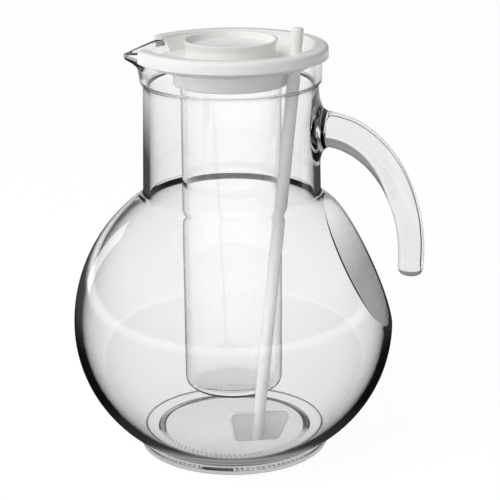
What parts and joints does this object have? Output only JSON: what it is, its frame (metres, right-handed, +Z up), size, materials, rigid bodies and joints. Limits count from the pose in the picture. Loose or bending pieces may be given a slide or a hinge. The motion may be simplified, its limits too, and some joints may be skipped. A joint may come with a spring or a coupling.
{
  "type": "glass pitcher with lid",
  "caption": "Round-bellied glass pitcher with a pouring lip and open handle, a plastic lid, a hanging ice tube with a cap, and a paddle stirrer through the lid.",
  "frame": {"origin": "centre of the foot, on the table", "axes": "+Z up along the jug's axis, +X towards the handle, -X towards the spout"},
  "size_m": [0.1858, 0.17, 0.2274],
  "materials": {
    "jug_glass": "clear, fire-polished",
    "white_plastic": "glossy moulded",
    "clear_plastic": "clear, glossy moulded"
  },
  "bodies": {
    "jug": {"jug_body": "jug_glass", "jug_foot": "jug_glass", "jug_bowl": "jug_glass", "jug_neck": "jug_glass", "handle": "jug_glass"},
    "lid": {"lid": "white_plastic"},
    "ice_tube": {"ice_tube": "clear_plastic"},
    "ice_tube_cap": {"ice_tube_cap": "white_plastic"},
    "stirrer": {"stirrer": "white_plastic"}
  },
  "joints": [
    {"name": "lid_lift", "type": "slide", "parent": "jug", "child": "lid", "axis": [0, 0, 1], "range_m": [0, 0.215]},
    {"name": "ice_tube_lift", "type": "slide", "parent": "lid", "child": "ice_tube", "axis": [0, 0, 1], "range_m": [0, 0.19]},
    {"name": "cap_lift", "type": "slide", "parent": "ice_tube", "child": "ice_tube_cap", "axis": [0, 0, 1], "range_m": [0, 0.04]},
    {"name": "stirrer_lift", "type": "slide", "parent": "lid", "child": "stirrer", "axis": [0.0902, 0.1027, 0.9906], "range_m": [0, 0.09]}
  ]
}
